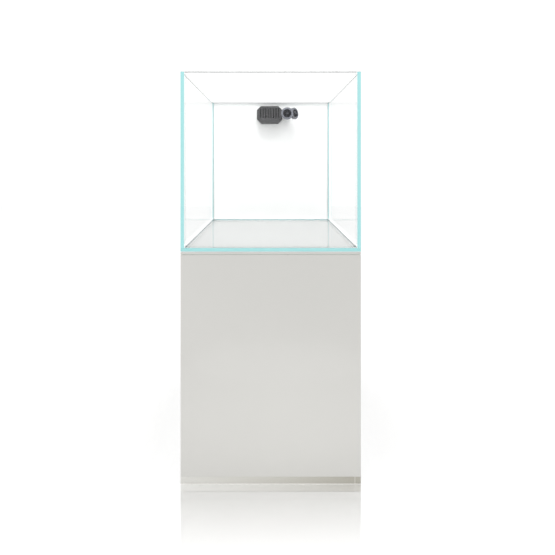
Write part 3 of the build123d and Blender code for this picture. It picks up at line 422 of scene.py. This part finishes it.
# Darker, glossier copy of the nozzle grey for head B: painted shade.
nozzle_grey_shaded = surface("nozzle_grey_shaded", srgb(90, 92, 101), 0.16, change=0.06, grain=1500.0,
                       relief=0.15, Coat_Weight=0.5)
nozzle_dark = surface("nozzle_dark", srgb(44, 46, 54), 0.35, change=0.08, grain=1500.0, relief=0.2)
pipe_grey = surface("pipe_grey", srgb(128, 133, 137), 0.33, change=0.04, grain=900.0, relief=0.12)
valve_red = surface("valve_red", srgb(176, 34, 28), 0.35, change=0.05, grain=1500.0, relief=0.2)
white_plastic = surface("white_plastic", srgb(232, 232, 229), 0.35, change=0.02, grain=1200.0,
                        relief=0.12)
seal_rubber = surface("seal_rubber", (0.02, 0.02, 0.02, 1), 0.7, change=0.15, grain=1500.0,
                      relief=0.4)
bumper = surface("bumper", srgb(225, 230, 230), 0.2, change=0.02, grain=600.0, relief=0.05,
                 Alpha=0.6)
steel = surface("plated_steel", srgb(188, 188, 184), 0.3, spread=0.1, change=0.05, grain=60.0,
                relief=0.2, stretch=(1, 30, 30), Metallic=1.0)
# Pale white: painted light on the door's shaded underside, and painted highlight lines at the foot.
painted_light_white = surface("white_painted_light", srgb(226, 224, 219), 0.5, change=0.02, grain=900.0,
                       relief=0.1)
# Grey-green of the seal in the gap above the door: painted shade of the gap.
gap_shade_seal = surface("gap_shade_seal", srgb(200, 207, 200), 0.6, change=0.02, grain=900.0, relief=0.1)
felt = surface("felt", srgb(240, 240, 236), 0.95, change=0.05, grain=2200.0, relief=0.9,
               depth=0.0006, Sheen_Weight=0.4, Sheen_Roughness=0.6)
glass_x, glass_y = glass("glass_x", X, shine=0.4), glass("glass_y", Y, shine=0.4)
floor_glass = glass("glass_floor", Z, shine=0.8)
silicone = bond_material("clear_silicone", 0.03)
inner_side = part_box("tank_bottom_pane")[1][0] - GLASS
tank_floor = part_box("tank_bottom_pane")[1][2]
# Where a joint's tinted line runs: across a side pane's rear edge, and down the floor pane's.
joint_start, joint_end, joint_under_floor = 2.4 * MM, 7.0 * MM, 8.0 * MM
side_rear = rear_edge_material("side_rear_edge", 0, inner_side + joint_start, inner_side + joint_end)
floor_rear = rear_edge_material("floor_rear_edge", 2, tank_floor - joint_under_floor, tank_floor)
painted_bedding = painted_bedding_material(inner_side)
sump_face, sump_edge = sump_materials()
clear_bond = bond_material("clear_bond", 0.04)
# Black plastic for bulkheads and nuts; on the weir backplate and inside the weir cover it is painted shade.
black_and_painted_shade = surface("black_plastic", (0.02, 0.02, 0.022, 1), 0.5, change=0.1, grain=1200.0,
                     relief=0.2)
painted_steel = surface("painted_steel", srgb(203, 202, 197), 0.4, change=0.01, grain=1500.0,
                        relief=0.25)
# Painted shade for the foot under the door.
kick_painted_shade = kick_painted_shade_material()


# ---------------------------------------------------------------- cabinet
BOARD_ROUND, DOOR_ROUND = 0.8 * MM, 0.5 * MM
LIP_GAP = 3.0 * MM                 # between the door and the lip over it
SEAL_BACK, SEAL_DEPTH, SEAL_CLEAR = 1.2 * MM, 9.0 * MM, 0.4 * MM
FOOT_HIGHLIGHT = (0.4 * MM, 0.5 * MM, 1.2 * MM)    # the foot's painted highlight strips: how far proud, how far in, how wide


def slab(name, body, material, low, high, round_edge=0.3 * MM):
    """Small strip with rounded edges between two corners."""
    low, high = Vector(low), Vector(high)
    bm = bmesh.new()
    bmesh.ops.create_cube(bm, size=1.0, matrix=Matrix.Translation((low + high) / 2)
                          @ Matrix.Diagonal((*(high - low), 1.0)))
    bmesh.ops.bevel(bm, geom=bm.edges[:], offset=round_edge, segments=2, profile=0.5,
                    affect="EDGES", clamp_overlap=True)
    return piece_from(bm, name, body, material)


def gap_shade_seal_box():
    """Dust seal under the top panel's lip, in the gap above the door, coloured as the gap's painted shade.
    """
    low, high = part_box("door_panel")
    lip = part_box("cabinet_top_panel")[0]
    front = low[1] + SEAL_BACK
    underside = high[2] + LIP_GAP
    return ((lip[0] + MM, front, high[2] + SEAL_CLEAR), (-lip[0] - MM, front + SEAL_DEPTH, underside))


def foot_highlight_boxes():
    """Pale strips along the bottom of the foot and over its joint with the right side board: painted
    highlight lines.
    """
    low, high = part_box("cabinet_base_panel")
    side, foot_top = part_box("cabinet_side_right")[1][0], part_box("door_panel")[0][2] - MM
    proud, sunk, wide = FOOT_HIGHLIGHT
    front, back = low[1] - proud, low[1] + sunk
    return {"foot_highlight_strip": ((-side, front, low[2]), (side, back, low[2] + wide)),
            "foot_joint_highlight": ((high[0] - wide, front, low[2] + wide), (high[0], back, foot_top))}


def on_foot(mesh, face):
    """Front face of a board under the door, which is drawn in the foot's painted shade."""
    return face.normal.y < -0.9 and face.center.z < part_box("door_panel")[0][2]


def make_cabinet():
    refined("cabinet_back_panel", STAND, lacquer, BOARD_ROUND)
    refined("cabinet_top_panel", STAND, lacquer, BOARD_ROUND)
    # The foot faces of the side boards and the whole base board are drawn in the foot's painted shade.
    for name in ("cabinet_side_left", "cabinet_side_right"):
        paint(refined(name, STAND, lacquer, BOARD_ROUND), kick_painted_shade, on_foot)
    refined("cabinet_base_panel", STAND, kick_painted_shade, BOARD_ROUND)
    door = refined("door_panel", "door", lacquer, DOOR_ROUND)
    # The door's underside is drawn pale, as edge banding and as painted light on its shade.
    paint(door, painted_light_white, lambda mesh, face: face.normal.z < -0.9)
    dress(painted_steel, "pivot_plate_top", "pivot_plate_bottom")
    dress(steel, "pivot_screws", "back_panel_screws", "cam_fittings", "latch_strike_plate")
    # The seal in the gap above the door carries the gap's painted shade.
    slab("door_gap_shade_seal", STAND, gap_shade_seal, *gap_shade_seal_box())
    # Pale strips at the foot: painted highlight lines.
    for name, corners in foot_highlight_boxes().items():
        slab(name, STAND, painted_light_white, *corners)
    dress(white_plastic, "door_pivot_bushes", "latch_body", "latch_plunger")
    dress(bumper, "door_bumpers")


# ---------------------------------------------------------------- tank
ARRIS = 1.8 * MM
BOND = 0.2 * MM             # a bonded face is drawn in by this much, so no two faces share a plane
SAME_PLANE = 0.01 * MM


def bond(pane, axis, side, material):
    """Show what a pane is stuck to in the face that touches it."""
    level = side * max(side * v.co[axis] for v in pane.data.vertices)

    def touches(mesh, face):
        return side * face.normal[axis] > 0.99 and abs(face.center[axis] - level) < SAME_PLANE

    paint(pane, material, touches)
    for vertex in pane.data.vertices:
        if abs(vertex.co[axis] - level) < SAME_PLANE:
            vertex.co[axis] -= side * BOND


def pane(name, material, bonds):
    """Pane with ground arrises along its top, and bonds: (axis, side, material of the joint)."""
    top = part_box("tank_front_pane")[1][2]
    made = refined(name, STAND, material, ARRIS, segments=1, smooth_angle=1.0, above=top - MM)
    for axis, side, joint in bonds:
        bond(made, axis, side, joint)


def make_seams():
    """Sealant in the inner corners, drawn in from the glass that it sticks to."""
    seams = refined("tank_silicone_seams", STAND, silicone, smooth_angle=1.0)
    for vertex in seams.data.vertices:
        for axis in range(2):
            if abs(abs(vertex.co[axis]) - inner_side) < SAME_PLANE:
                vertex.co[axis] *= 1 - BOND / inner_side
        if abs(vertex.co.z - tank_floor) < SAME_PLANE:
            vertex.co.z += BOND


def make_tank():
    to_film, to_floor = (1, 1, film), (2, -1, film)
    pane("tank_left_pane", glass_x, [(1, 1, side_rear), to_floor])
    pane("tank_right_pane", glass_x, [(1, 1, side_rear), to_floor])
    to_sides = [(0, -1, clear_bond), (0, 1, clear_bond)]
    pane("tank_front_pane", glass_y, [(2, -1, clear_bond), *to_sides])
    pane("tank_back_pane", glass_y, [to_film, to_floor, *to_sides])
    # The floor pane's underside shows the foam in painted shade, with a painted light rim under the walls.
    pane("tank_bottom_pane", floor_glass, [(2, -1, painted_bedding), (1, 1, floor_rear)])
    make_seams()
    dress(film, "background_film")
    dress(foam, "levelling_mat")


MOULD_ROUND, UNION_ROUND = 0.6 * MM, 0.8 * MM


def make_plumbing():
    dress(charcoal, "return_manifold")
    # The weir backplate is drawn black: painted shade behind the cover's slots.
    dress(black_and_painted_shade, "weir_backplate", "tank_bulkheads")
    make_weir_cover()
    make_nozzle("a", nozzle_grey)
    # Head B is drawn in the darker copy of the nozzle grey: painted shade.
    make_nozzle("b", nozzle_grey_shaded)
    for name in ("overflow_box", "sock_holder_plate"):
        refined(name, STAND, acrylic, MOULD_ROUND)
    refined("overflow_lid", "overflow_lid", acrylic, MOULD_ROUND)
    dress(black_and_painted_shade, "drain_bulkheads", "bulkhead_nuts")
    dress(seal_rubber, "bulkhead_gaskets")
    dress(pipe_grey, "primary_standpipe", "emergency_standpipe", "primary_drain_pipes",
          "primary_drain_elbows", "emergency_drain_pipes", "emergency_drain_elbows",
          "drain_valve_body", "return_pipes", "return_elbows")
    refined("pipe_unions", STAND, pipe_grey, UNION_ROUND)
    refined("drain_valve_handle", "drain_valve_lever", valve_red, UNION_ROUND)
    dress(white_plastic, "drain_valve_ball")


# ---------------------------------------------------------------- weir and nozzles
COVER_ROUND = 0.7 * MM
SLOT_WALL = 5.0 * MM        # an upright face of the cover that is shallower than this is in a slot
BORE = 20.0 * MM            # the nozzle's mouth, inside which the faces are drawn dark
LEAST_OUTWARD = 4.0 * MM    # the plane of an outer face passes the ball's centre at more than this


def make_weir_cover():
    cover = refined("weir_cover", "weir_cover", charcoal, COVER_ROUND)
    low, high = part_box("weir_cover")
    middle = (Vector(low) + Vector(high)) / 2

    def looks_inwards(mesh, face):
        inner = (middle - face.center).dot(face.normal) > 0 and face.center.y > low[1] + MM
        return inner or (abs(face.normal.x) > 0.9 and extents(mesh, face)[1] < SLOT_WALL)

    # The cover's inward faces and the walls of its slots are drawn black: painted shade inside the cover
    # and in its slots.
    paint(cover, black_and_painted_shade, looks_inwards)


def make_nozzle(name, shell):
    swivel = JOINTS[f"nozzle_{name}_swivel"]
    ball, jet = Vector(swivel["pos_m"]), Vector(swivel["axis"]).normalized()
    head = refined(f"nozzle_head_{name}", f"nozzle_head_{name}", shell)

    def in_bore(mesh, face):
        reach = face.center - ball
        along = reach.dot(jet)
        in_mouth = along > 0 and (reach - jet * along).length < BORE
        return in_mouth and face.normal.dot(reach) < LEAST_OUTWARD

    paint(head, nozzle_dark, in_bore)
    dress(nozzle_dark, f"nozzle_vanes_{name}", f"nozzle_ball_stem_{name}")


# ---------------------------------------------------------------- sump, pump and filter sock
SUMP_EDGE = 6.5 * MM        # a face narrower than this is an edge of the sump's glass
SUMP_CHAMFER, STRAINER_ROUND = 0.5 * MM, 0.5 * MM
SOCK_WALL, SOCK_ROUND = 2.0 * MM, 20.0 * MM
SOCK_SAG = 4.0 * MM         # how far the base hangs down in its middle
SOCK_LIFT = 6.0 * MM        # how far the base's edge lies over the end of the CAD's bag
SOCK_ROWS, SOCK_STEPS = 34, 96
SOCK_FOLDS = ((3, 0.9, 0.4), (5, 0.6, 2.1), (8, 0.35, 4.0))    # waves round it, depth in mm, phase
FOLDS_FULL_AT = 0.25        # share of the way down from which the folds are at their full depth


def make_sump():
    for name in ("sump_panes", "sump_baffles"):
        glass_work = refined(name, STAND, sump_face, SUMP_CHAMFER, segments=1, smooth_angle=1.0)
        paint(glass_work, sump_edge, lambda mesh, face: sorted(extents(mesh, face))[1] < SUMP_EDGE)
    refined("pump_motor_housing", STAND, charcoal, MOULD_ROUND)
    refined("pump_volute", STAND, charcoal, MOULD_ROUND)
    refined("pump_strainer", STAND, charcoal, STRAINER_ROUND)
    dress(white_plastic, "pump_impeller", "filter_sock_ring")
    make_sock()


def sock_radius(turn, drop, radius):
    """Radius of the hanging felt: round at the collar, softly folded lower down."""
    depth = sum(size * (1 + math.sin(waves * turn + phase)) for waves, size, phase in SOCK_FOLDS)
    return radius - depth * MM * min(1.0, drop / FOLDS_FULL_AT)


def sock_profile(radius, top, bottom, inset):
    """Rows of (height, radius, share of the way down) from the rim to the middle of the base."""
    side = [(top + (bottom + SOCK_ROUND - top) * row / SOCK_ROWS, radius, row / SOCK_ROWS)
            for row in range(SOCK_ROWS + 1)]
    round_off = [math.radians(angle) for angle in range(15, 91, 15)]
    base = [(bottom + SOCK_ROUND * (1 - math.sin(a)), radius - SOCK_ROUND * (1 - math.cos(a)), 1.0)
            for a in round_off]
    flat = [(bottom - SOCK_SAG * (1 - share), (radius - SOCK_ROUND) * share, 1.0)
            for share in (0.8, 0.55, 0.3, 0.1)]
    return [(z + inset * (drop == 1.0), r - inset, drop) for z, r, drop in side + base + flat]


def sock_skin(bm, radius, top, bottom, inset):
    """Inner or outer skin of the felt. Returns its ring of points at the rim."""
    low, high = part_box("filter_sock_bag")
    centre = (Vector(low) + Vector(high)) / 2
    turns = [2 * math.pi * step / SOCK_STEPS for step in range(SOCK_STEPS)]
    rings = []
    for z, r, drop in sock_profile(radius, top, bottom, inset):
        share = r / radius
        ring = [bm.verts.new((centre.x + math.cos(turn) * sock_radius(turn, drop, radius) * share,
                              centre.y + math.sin(turn) * sock_radius(turn, drop, radius) * share, z))
                for turn in turns]
        rings.append(ring)
    for upper, lower in zip(rings, rings[1:]):
        for step in range(SOCK_STEPS):
            after = (step + 1) % SOCK_STEPS
            bm.faces.new((upper[step], upper[after], lower[after], lower[step]))
    bm.faces.new(rings[-1])
    return rings[0]


def make_sock():
    """Needle-felt bag, sewn from one piece and hung from its ring."""
    low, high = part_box("filter_sock_bag")
    radius, top, bottom = (high[0] - low[0]) / 2, high[2], low[2] + SOCK_LIFT
    bm = bmesh.new()
    outer = sock_skin(bm, radius, top, bottom, 0.0)
    inner = sock_skin(bm, radius, top, bottom, SOCK_WALL)
    for step in range(SOCK_STEPS):
        after = (step + 1) % SOCK_STEPS
        bm.faces.new((outer[step], inner[step], inner[after], outer[after]))
    bmesh.ops.recalc_face_normals(bm, faces=bm.faces)
    sock = piece_from(bm, "filter_sock_felt", "filter_sock", felt)
    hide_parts("filter_sock_bag")


make_camera()
make_world()
for light in LIGHTS:
    area_light(*light)
make_floor()
make_cabinet()
make_tank()
make_plumbing()
make_sump()
